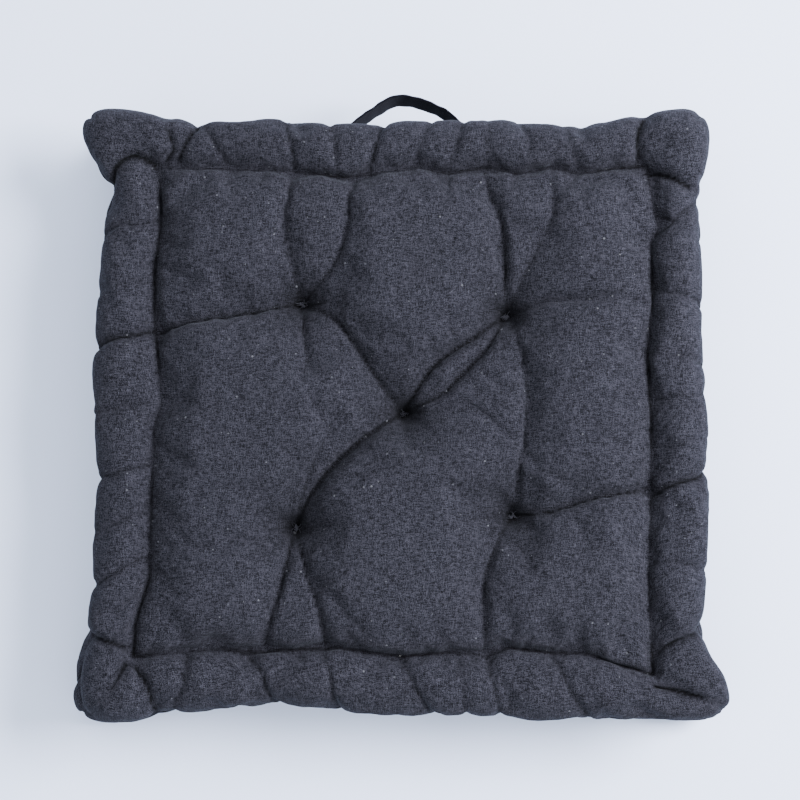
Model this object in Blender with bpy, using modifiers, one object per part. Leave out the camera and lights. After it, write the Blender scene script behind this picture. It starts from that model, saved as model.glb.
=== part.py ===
"""A square, tufted floor cushion with rolled edges and a carrying strap, as separate solids.

Metres, +Z up. The origin lies on the floor, at the centre of the whole part's footprint, strap
included. The strap is at the back, towards +Y.

The cover is two square panels joined by four side bands. A line of stitching near each edge closes
off a stuffed roll that runs all the way round, at the top and again at the bottom. Five ties pull
the panels together through the core. The strap's loop is a piece of its own, hinged about X where
it comes out between the two rolls.
"""

from math import acos, asin, cos, pi, radians, sin

import bmesh
import bpy
from mathutils import Vector

# Overall sizes
SIDE = 0.500  # across the rolls at the middle of a side
HEIGHT = 0.100
CORNER_EAR = 0.023  # how far a corner would stand out past the middles of its sides
CORNER_DRAWN_IN = 0.012  # and how far its point is drawn back in

# Cloth, thread and the room left between pieces
CLOTH = 0.0010
THREAD_RADIUS = 0.00035
GAP = 0.0004

# Rolled edge
ROLL_WIDTH = 0.044  # from the outside to the stitched groove
ROLL_HEIGHT = 0.038
GROOVE_DEPTH = 0.014
SHOULDER_WIDTH = 0.010  # from the groove to where the field has nearly its full height
SHOULDER_DEPTH = 0.004
WAIST_INSET = 0.018  # how far the side band lies in between the two rolls
GROOVE_THREAD_RISE = 0.0016  # from the bottom of the groove to the middle of its thread

# Tufts
TUFT_PLACES = {  # set by hand, so none of them is quite on the square
    "centre": (0, 0),
    "front_left": (-0.090, -0.097),
    "front_right": (0.092, -0.087),
    "back_left": (-0.086, 0.093),
    "back_right": (0.088, 0.083),
}
TUFT_DEPTH = 0.028
TIE_RADIUS = 0.0009
TIE_CLEAR = 0.0005  # round the tie, in its holes
KNOT_RADIUS = 0.0024
KNOT_RISE = 0.0040  # from the tuft's deepest point to the middle of the knot

# Filling
FILL_GAP = 0.0030  # between the filling and the outer face of the cloth round it

# Strap
STRAP_CLEAR = 0.0023  # between the strap's edges and the rolls above and below it
STRAP_THICKNESS = 0.0024
STRAP_TILT = radians(22)  # the loop's upper edge leans out by this in its middle
LOOP_HALF_SPAN = 0.047  # from the middle of the loop to each hinge point
LOOP_REACH = 0.022  # how far the loop stands out past the hinge line
END_REACH = 0.008  # how far each sewn end stands out from the band, towards the loop
HINGE_GAP = 0.0015  # round the circle that the loop's end sweeps about the hinge line
SEWN_START = 0.066  # where the strap's end first lies flat on the band, from the middle
SEWN_LENGTH = 0.026
STITCH_MARGIN = 0.003  # from the strap's edges to the box of stitches

# Facets
KNOT_SIDES = 8
LOOP_CELLS = 16
END_CELLS = 5

ROLL_A = ROLL_WIDTH / 2
ROLL_B = ROLL_HEIGHT / 2
SEAM_GAP = 2 * (THREAD_RADIUS + GAP)  # between two cloth edges, with the seam's thread in it
RIM_DEPTH = ROLL_B  # the rim's seam runs round the widest line of the roll
SEAM_ANGLE = asin(SEAM_GAP / 2 / ROLL_B)
WAIST_ANGLE = acos(1 - WAIST_INSET / ROLL_A)
WAIST_DEPTH = RIM_DEPTH + ROLL_B * sin(WAIST_ANGLE)
OVER_ROLL = (radians(145), pi / 2, pi / 4, SEAM_ANGLE)
UNDER_ROLL = (-SEAM_ANGLE, -pi / 6, -pi / 3.2, -WAIST_ANGLE)
MIDDLE_Z = HEIGHT / 2
STRAP_WIDTH = HEIGHT - 2 * (WAIST_DEPTH + STRAP_CLEAR)
STRAP_FLAT_Y = SIDE / 2 - WAIST_INSET + GAP + STRAP_THICKNESS / 2
HINGE_Y = STRAP_FLAT_Y + END_REACH + HINGE_GAP + STRAP_WIDTH / 2
LOOP_Y = HINGE_Y + LOOP_REACH
SIDES = ("back", "left", "front", "right")  # each a quarter turn from the one before
FACES = {"top": 1, "bottom": -1}

CHARCOAL = (0.055, 0.058, 0.080, 1)
NAVY_BLACK = (0.016, 0.016, 0.025, 1)
DARK_THREAD = (0.030, 0.030, 0.040, 1)
FIBRE_WHITE = (0.800, 0.790, 0.760, 1)


def outline(u, v, inset):
    """The point `inset` inside the cushion's outline, towards (u, v) on the unit square's edge."""
    corner = abs(u * v) ** 6
    on_roll_share = max(0, 1 - inset / ROLL_WIDTH)
    ear = (CORNER_EAR * corner - CORNER_DRAWN_IN * corner**2) * on_roll_share
    half = SIDE / 2 - inset + ear
    return u * half, v * half


def round_the_square(cells):
    """Directions round the unit square's edge, with `cells` of them to each half side."""
    steps = [k / cells for k in range(-cells, cells)]
    sides = [[(s, -1) for s in steps], [(1, s) for s in steps]]
    return sides[0] + sides[1] + [(-u, -v) for u, v in sides[0]] + [(-u, -v) for u, v in sides[1]]


def on_roll(angles, gap=0):
    """(inset, depth) for each angle on the roll, from its widest line (0) over its top (pi / 2)."""
    a = ROLL_A - gap
    b = ROLL_B - gap
    return [(ROLL_A - a * cos(angle), RIM_DEPTH - b * sin(angle)) for angle in angles]


FIELD_HALF = SIDE / 2 - ROLL_WIDTH
FIELD_RINGS = [(SIDE / 2 - FIELD_HALF * share, 0) for share in (0, 0.22, 0.44, 0.62, 0.80)]
FIELD_RINGS += [(ROLL_WIDTH + SHOULDER_WIDTH, SHOULDER_DEPTH), (ROLL_WIDTH, GROOVE_DEPTH)]
PANEL_RINGS = FIELD_RINGS + on_roll(OVER_ROLL)  # (inset, depth), from the middle to the seam
TUFT_RING = 2
GROOVE_RING = len(FIELD_RINGS) - 1
SEAM_RING = len(PANEL_RINGS) - 1
WIDEST = max(outline(u, v, 0)[0] for u, v in round_the_square(SEAM_RING)) + THREAD_RADIUS
CENTRE_Y = (WIDEST - LOOP_Y) / 2  # puts the whole part's middle at the origin


def at_depth(depth, face):
    """Height of a point that lies `depth` inside the top (face 1) or the bottom (face -1)."""
    return HEIGHT - depth if face > 0 else depth


def tuft_at(column, row):
    """The place of the tuft on this point of the panel's grid, or None."""
    if (abs(column), abs(row)) not in ((0, 0), (TUFT_RING, TUFT_RING)):
        return None
    names = {0: "centre", 1: ("back" if row > 0 else "front") + ("_right" if column > 0 else "_left")}
    return TUFT_PLACES[names[min(1, abs(column))]]


def panel_point(column, row, face, sink=0):
    """A point of the panel's grid, `sink` below its outside. Columns and rows count from 0."""
    ring = max(abs(column), abs(row))
    inset, depth = PANEL_RINGS[ring]
    tuft = tuft_at(column, row)
    if tuft:
        return Vector((*tuft, at_depth(depth + TUFT_DEPTH + sink, face)))
    return Vector((*outline(column / ring, row / ring, inset), at_depth(depth + sink, face)))


def plain_material(name, colour):
    """A rough, unpatterned material."""
    made = bpy.data.materials.new(name)
    made.use_nodes = True
    shader = made.node_tree.nodes["Principled BSDF"]
    shader.inputs["Base Color"].default_value = colour
    shader.inputs["Roughness"].default_value = 0.9
    shader.inputs["Metallic"].default_value = 0
    return made


def empty_at(name, location, parent=None):
    """An empty that pieces are placed from."""
    made = bpy.data.objects.new(name, None)
    made.location = location
    made.parent = parent
    parts.objects.link(made)
    return made


def place(name, data, finish, parent=None):
    """A named piece in the cushion's collection, placed from the cushion's middle."""
    made = bpy.data.objects.new(name, data)
    if not data.materials:
        data.materials.append(finish)
    made.parent = parent or centre
    parts.objects.link(made)
    return made


def mesh_from(bm, name):
    """A closed bmesh as a mesh, with its faces turned to point outwards."""
    bmesh.ops.recalc_face_normals(bm, faces=bm.faces)
    mesh = bpy.data.meshes.new(name)
    bm.to_mesh(mesh)
    bm.free()
    mesh.shade_smooth()
    mesh.set_sharp_from_angle(angle=radians(35))
    return mesh


def sheet_from(bm, name, outward):
    """An open bmesh as a mesh, with its faces turned to look along `outward` on the whole."""
    mesh = mesh_from(bm, name)
    if sum(face.area * face.normal.dot(outward) for face in mesh.polygons) < 0:
        mesh.flip_normals()
    return mesh


def grid(columns, rows):
    """A flat bmesh grid, from -1 to 1 each way."""
    bm = bmesh.new()
    bmesh.ops.create_grid(bm, x_segments=columns, y_segments=rows, size=1)
    return bm


def mitred_grid(cells):
    """A square grid, `cells` to each half side, each cell split along the way out from the middle."""
    bm = grid(2 * cells, 2 * cells)
    for face in list(bm.faces):
        outward = sorted(face.verts, key=lambda v: abs(v.co.x) + abs(v.co.y))
        bmesh.utils.face_split(face, outward[0], outward[-1])
    return bm


def thicken(piece, thickness, offset):
    """Gives an open surface its thickness: all on its inner side at offset -1, half each at 0."""
    wall = piece.modifiers.new("thickness", "SOLIDIFY")
    wall.thickness = thickness
    wall.offset = offset


def pierce(piece):
    """Cuts the holes that the five ties pass through."""
    cut = piece.modifiers.new("tie_holes", "BOOLEAN")
    cut.operand_type = "COLLECTION"
    cut.collection = cutters
    cut.solver = "EXACT"


def tie_cutters():
    """One long cylinder through each tuft."""
    for where, place_of in TUFT_PLACES.items():
        bm = bmesh.new()
        hole = TIE_RADIUS + TIE_CLEAR
        size = {"radius1": hole, "radius2": hole, "depth": 2 * HEIGHT}
        bmesh.ops.create_cone(bm, cap_ends=True, segments=KNOT_SIDES, **size)
        cutter = bpy.data.objects.new("tie_cutter_" + where, mesh_from(bm, "tie_cutter"))
        cutter.parent = centre
        cutter.location = (*place_of, MIDDLE_Z)
        cutter.hide_render = True
        cutter.display_type = "WIRE"
        cutters.objects.link(cutter)


def panels():
    """The top and bottom squares of the cover, each from its seam over the roll to the middle."""
    for side, face in FACES.items():
        bm = mitred_grid(SEAM_RING)
        for vertex in bm.verts:
            column, row = (round(value * SEAM_RING) for value in vertex.co.xy)
            vertex.co = panel_point(column, row, face)
        name = side + "_panel"
        panel = place(name, sheet_from(bm, name, Vector((0, 0, face))), cover_cloth)
        thicken(panel, CLOTH, -1)
        pierce(panel)


def side_bands():
    """Four bands, tucked in between the rolls, from the upper seam down to the lower one."""
    upper = on_roll(UNDER_ROLL)
    section = upper + [(inset, HEIGHT - depth) for inset, depth in reversed(upper)]
    drops = len(section) - 1
    reach = 1 - 2 * (CLOTH + SEAM_GAP) / SIDE
    bm = grid(2 * SEAM_RING, drops)
    for vertex in bm.verts:
        inset, depth = section[round((1 - vertex.co.y) / 2 * drops)]
        x, y = outline(vertex.co.x * reach, 1, inset)
        vertex.co = (x, y, HEIGHT - depth)
    mesh = sheet_from(bm, "side_band", Vector((0, 1, 0)))
    for turns, side in enumerate(SIDES):
        band = place("side_band_" + side, mesh, cover_cloth)
        band.rotation_euler.z = turns * pi / 2
        thicken(band, CLOTH, -1)


def core_filling():
    """The slab of fibre between the panels, drawn in at the ties and at the roll stitching."""
    bm = mitred_grid(GROOVE_RING)
    layer = list(bm.verts) + list(bm.edges) + list(bm.faces)
    for _ in range(3):
        layer = bmesh.ops.extrude_face_region(bm, geom=layer)["geom"]
        raised = [g for g in layer if isinstance(g, bmesh.types.BMVert)]
        bmesh.ops.translate(bm, verts=raised, vec=(0, 0, 1))
    for vertex in bm.verts:
        column, row = (round(value * GROOVE_RING) for value in vertex.co.xy)
        level = round(vertex.co.z)
        face = 1 if level > 1 else -1
        if level in (0, 3):
            vertex.co = panel_point(column, row, face, FILL_GAP)
        else:
            x, y = outline(column / GROOVE_RING, row / GROOVE_RING, WAIST_INSET + FILL_GAP)
            vertex.co = (x, y, at_depth(WAIST_DEPTH, face))
    pierce(place("core_filling", mesh_from(bm, "core_filling"), fibre))


def roll_fillings():
    """A ring of fibre in each roll, cut off flat on the side where the stitching holds it."""
    section = on_roll(OVER_ROLL[:-1] + (0,) + UNDER_ROLL[1:], FILL_GAP)
    directions = round_the_square(SEAM_RING)
    for side, face in FACES.items():
        bm = grid(len(directions), len(section))
        for vertex in bm.verts:
            step = round((vertex.co.x + 1) / 2 * len(directions)) % len(directions)
            inset, depth = section[round((vertex.co.y + 1) / 2 * len(section)) % len(section)]
            x, y = outline(*directions[step], inset)
            vertex.co = (x, y, at_depth(depth, face))
        bmesh.ops.remove_doubles(bm, verts=bm.verts, dist=0.00001)
        name = side + "_roll_filling"
        place(name, mesh_from(bm, name), fibre)


def thread(name, points, closed):
    """A round thread along the points."""
    curve = bpy.data.curves.new(name, "CURVE")
    curve.dimensions = "3D"
    spline = curve.splines.new("POLY")
    spline.points.add(len(points) - 1)
    for point, spot in zip(spline.points, points):
        point.co = (*spot, 1)
    spline.use_cyclic_u = closed
    curve.bevel_depth = THREAD_RADIUS
    curve.bevel_resolution = 1
    curve.use_fill_caps = True
    return place(name, curve, sewing_thread)


def cover_threads():
    """The stitching in the two grooves, the two rim seams, and the four corner seams."""
    for side, face in FACES.items():
        z = at_depth(GROOVE_DEPTH - GROOVE_THREAD_RISE, face)
        loop = [(*outline(u, v, ROLL_WIDTH), z) for u, v in round_the_square(GROOVE_RING)]
        thread(side + "_roll_stitching", loop, True)
        z = at_depth(RIM_DEPTH, face)
        loop = [(*outline(u, v, 0), z) for u, v in round_the_square(SEAM_RING)]
        thread(side + "_rim_seam", loop, True)
    upper = [(0, RIM_DEPTH + 2 * (THREAD_RADIUS + GAP))] + on_roll(UNDER_ROLL[1:])
    section = upper + [(inset, HEIGHT - depth) for inset, depth in reversed(upper)]
    corner = [(*outline(1, 1, inset), HEIGHT - depth) for inset, depth in section]
    for turns, side in enumerate(("back_right", "back_left", "front_left", "front_right")):
        thread("corner_seam_" + side, corner, False).rotation_euler.z = turns * pi / 2


def ties():
    """Five ties, each with a knot in the tuft at either end."""
    knot_z = MIDDLE_Z - TUFT_DEPTH + KNOT_RISE
    neck = asin(TIE_RADIUS / KNOT_RADIUS)
    steps = 4
    turns = [(pi - neck) * k / steps for k in range(steps + 1)]
    upper = [(KNOT_RADIUS * sin(turn), knot_z + KNOT_RADIUS * cos(turn)) for turn in turns]
    profile = upper + [(radius, -z) for radius, z in reversed(upper)]
    bm = bmesh.new()
    verts = [bm.verts.new((radius, 0, z)) for radius, z in profile]
    for upper_end, lower_end in zip(verts, verts[1:]):
        bm.edges.new((upper_end, lower_end))
    mesh = bpy.data.meshes.new("tie")
    bm.to_mesh(mesh)
    bm.free()
    for where, place_of in TUFT_PLACES.items():
        tie = place("tie_" + where, mesh, sewing_thread)
        tie.location = (*place_of, MIDDLE_Z)
        turned = tie.modifiers.new("turned", "SCREW")
        turned.steps = KNOT_SIDES
        turned.render_steps = KNOT_SIDES
        turned.use_merge_vertices = True
        turned.merge_threshold = 0.00001


def ribbon(name, path, tilts, parent, shift):
    """A flat strap along the path (x, y), standing on edge and leaning out by the tilts."""
    bm = grid(len(path) - 1, 1)
    for vertex in bm.verts:
        step = round((vertex.co.x + 1) / 2 * (len(path) - 1))
        x, y = path[step]
        half = vertex.co.y * STRAP_WIDTH / 2
        vertex.co = Vector((x, y + half * sin(tilts[step]), MIDDLE_Z + half * cos(tilts[step]))) - shift
    strap = place(name, sheet_from(bm, name, Vector((0, 1, 0))), strap_cloth, parent)
    thicken(strap, STRAP_THICKNESS, 0)


def handle():
    """The strap's loop on its hinge, and the ends that are sewn flat on the back band."""
    hinge = Vector((0, HINGE_Y, MIDDLE_Z))
    rise = LOOP_REACH - STRAP_THICKNESS / 2 - sin(STRAP_TILT) * STRAP_WIDTH / 2
    turns = [-pi / 2 + pi * k / LOOP_CELLS for k in range(LOOP_CELLS + 1)]
    path = [(LOOP_HALF_SPAN * sin(turn), HINGE_Y + rise * cos(turn)) for turn in turns]
    tilts = [STRAP_TILT * cos(turn) for turn in turns]
    on_hinge = empty_at("handle_hinge", hinge, centre)
    ribbon("handle_loop", path, tilts, on_hinge, hinge)

    bends = [pi / 2 * k / END_CELLS for k in range(END_CELLS + 1)]
    turn_in = SEWN_START - LOOP_HALF_SPAN
    path = [(SEWN_START - turn_in * cos(b), STRAP_FLAT_Y + END_REACH * (1 - sin(b))) for b in bends]
    path.append((SEWN_START + SEWN_LENGTH, STRAP_FLAT_Y))
    for side, sign in (("left", -1), ("right", 1)):
        mirrored = [(sign * x, y) for x, y in path]
        ribbon("handle_end_" + side, mirrored, [0] * len(path), centre, Vector())
        across = [STITCH_MARGIN, SEWN_LENGTH - STITCH_MARGIN]
        half = STRAP_WIDTH / 2 - STITCH_MARGIN
        y = STRAP_FLAT_Y + STRAP_THICKNESS / 2 + GAP + THREAD_RADIUS
        corners = [(across[0], -half), (across[1], -half), (across[1], half), (across[0], half)]
        box = [(sign * (SEWN_START + x), y, MIDDLE_Z + z) for x, z in corners]
        thread("handle_stitching_" + side, box, True)


for old in list(bpy.data.objects):
    bpy.data.objects.remove(old)
parts = bpy.data.collections.new("floor_cushion")
cutters = bpy.data.collections.new("cutters")
bpy.context.scene.collection.children.link(parts)
bpy.context.scene.collection.children.link(cutters)
cover_cloth = plain_material("cover_cloth", CHARCOAL)
strap_cloth = plain_material("strap_cloth", NAVY_BLACK)
sewing_thread = plain_material("sewing_thread", DARK_THREAD)
fibre = plain_material("fibre", FIBRE_WHITE)
centre = empty_at("cushion_centre", (0, CENTRE_Y, 0))

tie_cutters()
panels()
side_bands()
core_filling()
roll_fillings()
cover_threads()
ties()
handle()
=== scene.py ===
"""The looks of a tufted floor cushion: rolled edges, five tufts and a carrying strap.

The cover is laid out as one grid of cloth, shaped by listed folds, blown up by a short cloth
simulation that is held at its stitching, and then cut into its two panels and four side bands.
Metres, +Z up; the strap is at the back, towards +Y.
"""

from math import acos, copysign, cos, exp, pi, radians, sin

import bmesh
import bpy
import numpy as np
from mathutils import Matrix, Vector


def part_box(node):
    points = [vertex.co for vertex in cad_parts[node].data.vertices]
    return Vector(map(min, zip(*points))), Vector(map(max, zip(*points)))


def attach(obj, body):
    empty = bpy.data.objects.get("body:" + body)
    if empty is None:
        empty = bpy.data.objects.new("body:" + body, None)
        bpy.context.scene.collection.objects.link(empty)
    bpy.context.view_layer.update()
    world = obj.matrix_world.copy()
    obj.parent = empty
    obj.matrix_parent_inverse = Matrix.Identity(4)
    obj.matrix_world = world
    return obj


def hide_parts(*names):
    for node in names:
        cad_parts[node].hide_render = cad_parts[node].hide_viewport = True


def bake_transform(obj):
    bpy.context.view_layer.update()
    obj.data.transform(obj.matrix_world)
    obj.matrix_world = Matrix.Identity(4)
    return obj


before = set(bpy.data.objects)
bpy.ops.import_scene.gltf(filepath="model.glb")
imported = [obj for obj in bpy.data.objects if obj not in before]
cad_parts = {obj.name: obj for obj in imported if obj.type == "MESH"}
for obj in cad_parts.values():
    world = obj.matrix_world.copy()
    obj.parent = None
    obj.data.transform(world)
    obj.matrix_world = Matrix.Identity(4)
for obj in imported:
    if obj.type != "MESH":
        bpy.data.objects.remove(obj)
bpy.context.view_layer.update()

# The cushion's sizes, as its solids have them
SIDE = 0.500
HEIGHT = 0.100
ROLL_WIDTH = 0.044
ROLL_HEIGHT = 0.038
WAIST_INSET = 0.018
TUFT_DEPTH = 0.028
TUFT_RADIUS = 0.017
FIELD_SINK = 0.003  # of the field under the rolls' tops
CORNER_EAR = 0.023
CORNER_DRAWN_IN = 0.012
STRAP_WIDTH = 0.020
STRAP_THICKNESS = 0.0024
CLOTH = 0.0009
RIM_SEAM_DEPTH = 0.0011
GROOVE_SEAM_DEPTH = 0.0022
FILL_GAP = 0.0045  # from the cover to the fillings

ROLL_A = ROLL_WIDTH / 2
ROLL_B = ROLL_HEIGHT / 2
GROOVE_ANGLE = radians(163)
WAIST_ANGLE = acos(1 - WAIST_INSET / ROLL_A)
WAIST_DEPTH = ROLL_B * (1 + sin(WAIST_ANGLE))
FIELD_HALF = SIDE / 2 - ROLL_WIDTH

# Cells of the cloth, about 4 mm, before they are halved
FIELD_CELLS = 49  # from the middle to the groove
OVER_CELLS = 14  # from the groove over the roll to the rim seam
UNDER_CELLS = 7  # from the rim seam to the waist
WAIST_CELLS = 6
PANEL_CELLS = FIELD_CELLS + OVER_CELLS
BAND_CELLS = 2 * UNDER_CELLS + WAIST_CELLS
ALL_CELLS = 2 * PANEL_CELLS + BAND_CELLS  # from the top's middle to the bottom's
CELL = FIELD_HALF / FIELD_CELLS

# The cloth's behaviour
SIM_FRAMES = 22
PRESSURE = 5.0
CLOTH_GROWTH = 0.06
MOST_MOVE = 0.016
SEED = 7

panel_low, panel_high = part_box("top_panel")
MIDDLE = np.array([(panel_low[0] + panel_high[0]) / 2, (panel_low[1] + panel_high[1]) / 2, 0.0])


def tie_place(name):
    """Where a tie stands, from the cushion's middle."""
    low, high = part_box("tie_" + name)
    return ((low[0] + high[0]) / 2 - MIDDLE[0], (low[1] + high[1]) / 2 - MIDDLE[1])


STRAP_FLAT_Y = SIDE / 2 - WAIST_INSET + 0.0016

# The strap's route from one sewn end to the other: x, y from the cushion's middle, and how many
# degrees its upper edge leans out
STRAP_ROUTE = [
    (-0.092, STRAP_FLAT_Y, 0), (-0.080, STRAP_FLAT_Y, 0), (-0.070, STRAP_FLAT_Y + 0.0003, 0),
    (-0.062, 0.2385, 3), (-0.052, 0.2480, 6), (-0.040, 0.2565, 9), (-0.025, 0.2670, 12),
    (-0.009, 0.2765, 13), (0.006, 0.2770, 12), (0.024, 0.2715, 11), (0.040, 0.2630, 9),
    (0.053, 0.2510, 6), (0.061, 0.2405, 3), (0.067, STRAP_FLAT_Y + 0.0003, 0),
    (0.080, STRAP_FLAT_Y, 0), (0.092, STRAP_FLAT_Y, 0),
]

TUFT_NAMES = ("centre", "front_left", "front_right", "back_left", "back_right")
TUFTS = {name: tie_place(name) for name in TUFT_NAMES}

# Folds of the top panel, in metres from its middle. Each runs from a tuft: its points, its depth at
# either end, and its width on its left and on its right as one walks along it.
TOP_FOLDS = [
    (("back_left", (-0.127, 0.084), (-0.169, 0.077), (-0.207, 0.068)), 0.012, 0.010, 0.005, 0.016),
    (("back_left", (-0.097, 0.135), (-0.100, 0.163), (-0.093, 0.206)), 0.008, 0.004, 0.005, 0.009),
    (("back_left", (-0.062, 0.119), (-0.050, 0.146), (-0.042, 0.200)), 0.009, 0.003, 0.010, 0.006),
    (("back_left", (-0.061, 0.092), (-0.036, 0.091)), 0.011, 0.000, 0.005, 0.009),
    (("back_left", (-0.058, 0.078), (-0.039, 0.054), (-0.020, 0.025), "centre"),
     0.009, 0.009, 0.012, 0.014),
    (("back_left", (-0.081, 0.047), (-0.072, 0.018)), 0.012, 0.000, 0.009, 0.005),
    (("back_right", (0.086, 0.122), (0.084, 0.156), (0.074, 0.183), (0.069, 0.209)),
     0.010, 0.005, 0.012, 0.005),
    (("back_right", (0.112, 0.135), (0.126, 0.167), (0.127, 0.203)), 0.006, 0.003, 0.010, 0.012),
    (("back_right", (0.123, 0.092), (0.180, 0.095)), 0.008, 0.001, 0.008, 0.010),
    (("back_right", (0.059, 0.062), (0.028, 0.040), "centre"), 0.011, 0.011, 0.006, 0.010),
    (("back_right", (0.074, 0.058), (0.055, 0.036), (0.030, 0.013), "centre"),
     0.010, 0.010, 0.006, 0.010),
    (("back_right", (0.099, 0.053), (0.103, 0.018), (0.102, -0.016), (0.096, -0.055), "front_right"),
     0.005, 0.005, 0.014, 0.012),
    (("centre", (0.003, -0.021), (0.008, -0.044)), 0.011, 0.000, 0.006, 0.006),
    (("centre", (0.026, 0.001), (0.056, 0.006)), 0.010, 0.000, 0.006, 0.010),
    (("centre", (-0.031, -0.021), (-0.058, -0.045), (-0.077, -0.070), "front_left"),
     0.012, 0.012, 0.010, 0.006),
    (("front_left", (-0.083, -0.069), (-0.074, -0.043), (-0.062, -0.018)), 0.011, 0.001, 0.006, 0.010),
    (("front_left", (-0.101, -0.145), (-0.110, -0.175), (-0.117, -0.208)), 0.011, 0.005, 0.006, 0.011),
    (("front_left", (-0.079, -0.139), (-0.070, -0.164), (-0.062, -0.206)), 0.010, 0.005, 0.011, 0.005),
    (("front_left", (-0.060, -0.096), (-0.042, -0.094)), 0.006, 0.000, 0.006, 0.008),
    (("front_right", (0.123, -0.084), (0.157, -0.074), (0.207, -0.065)), 0.012, 0.009, 0.014, 0.005),
    (("front_right", (0.081, -0.106), (0.071, -0.130), (0.066, -0.162), (0.068, -0.207)),
     0.010, 0.004, 0.010, 0.006),
    (("front_right", (0.100, -0.120), (0.108, -0.150)), 0.005, 0.000, 0.010, 0.012),
    (("front_right", (0.055, -0.091), (0.035, -0.094)), 0.007, 0.000, 0.007, 0.007),
]

# Puckers across the top roll: side, place along it at the groove and at the rim, depth, and width
# towards lower and towards higher places.
TOP_PUCKERS = [
    ("back", -0.150, -0.168, 0.0022, 0.005, 0.014),
    ("back", -0.093, -0.099, 0.0037, 0.005, 0.012),
    ("back", -0.055, -0.060, 0.0015, 0.010, 0.006),
    ("back", -0.028, -0.014, 0.0045, 0.010, 0.004),
    ("back", 0.009, 0.026, 0.0019, 0.008, 0.006),
    ("back", 0.039, 0.054, 0.0022, 0.010, 0.006),
    ("back", 0.072, 0.072, 0.0015, 0.006, 0.008),
    ("back", 0.112, 0.098, 0.0015, 0.008, 0.010),
    ("back", 0.149, 0.133, 0.0022, 0.006, 0.012),
    ("left", 0.162, 0.146, 0.0019, 0.010, 0.006),
    ("left", 0.110, 0.098, 0.0015, 0.008, 0.008),
    ("left", 0.068, 0.051, 0.0065, 0.005, 0.012),
    ("left", 0.008, -0.004, 0.0012, 0.009, 0.007),
    ("left", -0.045, -0.056, 0.0034, 0.010, 0.005),
    ("left", -0.085, -0.100, 0.0015, 0.008, 0.008),
    ("left", -0.122, -0.144, 0.0034, 0.010, 0.005),
    ("front", -0.165, -0.182, 0.0030, 0.010, 0.006),
    ("front", -0.119, -0.099, 0.0045, 0.010, 0.005),
    ("front", -0.062, -0.050, 0.0030, 0.008, 0.006),
    ("front", -0.003, 0.028, 0.0037, 0.012, 0.005),
    ("front", 0.045, 0.052, 0.0015, 0.008, 0.008),
    ("front", 0.069, 0.080, 0.0034, 0.006, 0.010),
    ("front", 0.123, 0.153, 0.0034, 0.012, 0.006),
    ("right", 0.150, 0.178, 0.0034, 0.012, 0.005),
    ("right", 0.104, 0.088, 0.0015, 0.008, 0.010),
    ("right", 0.050, 0.038, 0.0012, 0.009, 0.009),
    ("right", 0.010, 0.014, 0.0022, 0.008, 0.006),
    ("right", -0.030, -0.022, 0.0012, 0.008, 0.008),
    ("right", -0.066, -0.051, 0.0065, 0.006, 0.012),
    ("right", -0.120, -0.132, 0.0015, 0.010, 0.008),
    ("right", -0.190, -0.174, 0.0060, 0.010, 0.004),
]

# Creases over the top roll near its corners: points from the middle, depth at either end, and
# width on the left and on the right as one walks along it
ROLL_CREASES = [
    (((-0.274, 0.183), (-0.256, 0.191), (-0.246, 0.206), (-0.231, 0.217), (-0.218, 0.215),
      (-0.208, 0.209)),
     0.010, 0.008, 0.004, 0.012),
    (((-0.200, 0.240), (-0.195, 0.223), (-0.202, 0.209)), 0.005, 0.007, 0.006, 0.004),
    (((-0.174, 0.246), (-0.186, 0.222), (-0.190, 0.212)), 0.006, 0.006, 0.004, 0.008),
    (((0.203, 0.252), (0.199, 0.232), (0.200, 0.213)), 0.008, 0.007, 0.008, 0.004),
    (((0.203, 0.204), (0.222, 0.200), (0.245, 0.191)), 0.008, 0.008, 0.004, 0.010),
    (((-0.226, -0.208), (-0.233, -0.219), (-0.240, -0.230)), 0.006, 0.003, 0.004, 0.008),
    (((-0.221, -0.210), (-0.211, -0.227), (-0.204, -0.252)), 0.007, 0.007, 0.008, 0.004),
    (((-0.266, -0.184), (-0.248, -0.190), (-0.226, -0.196)), 0.009, 0.006, 0.004, 0.008),
    (((0.209, -0.224), (0.226, -0.231), (0.246, -0.238)), 0.009, 0.008, 0.004, 0.008),
    (((0.200, 0.170), (0.214, 0.166), (0.226, 0.163)), 0.005, 0.003, 0.004, 0.006),
]

# How far the groove wanders outwards, as (place along the side, distance)
GROOVE_WANDER = {
    "left": (
        (-0.206, 0.016), (-0.180, 0.016), (-0.140, 0.004), (-0.080, 0.004), (-0.014, 0.002),
        (0.010, -0.004), (0.060, 0.001), (0.085, 0.003), (0.120, 0.004), (0.150, 0.000),
        (0.172, -0.001), (0.206, 0.000),
    ),
    "right": (
        (-0.206, 0.000), (-0.133, -0.002), (-0.066, 0.001), (-0.010, 0.002), (0.047, 0.000),
        (0.102, 0.005), (0.140, 0.004), (0.155, 0.010), (0.180, 0.005), (0.206, 0.001),
    ),
    "back": (
        (-0.206, 0.002), (-0.144, 0.001), (-0.093, -0.001), (-0.050, -0.006), (-0.003, 0.000),
        (0.012, 0.003), (0.039, -0.003), (0.070, 0.003), (0.098, -0.003), (0.126, 0.003),
        (0.149, -0.003), (0.190, 0.003),
    ),
    "front": (
        (-0.206, -0.003), (-0.172, -0.006), (-0.140, -0.009), (-0.119, -0.006), (-0.050, -0.010),
        (-0.003, -0.003), (0.041, -0.006), (0.069, -0.003), (0.088, -0.010), (0.123, -0.006),
        (0.153, -0.005), (0.178, 0.004), (0.206, 0.012),
    ),
}

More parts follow.
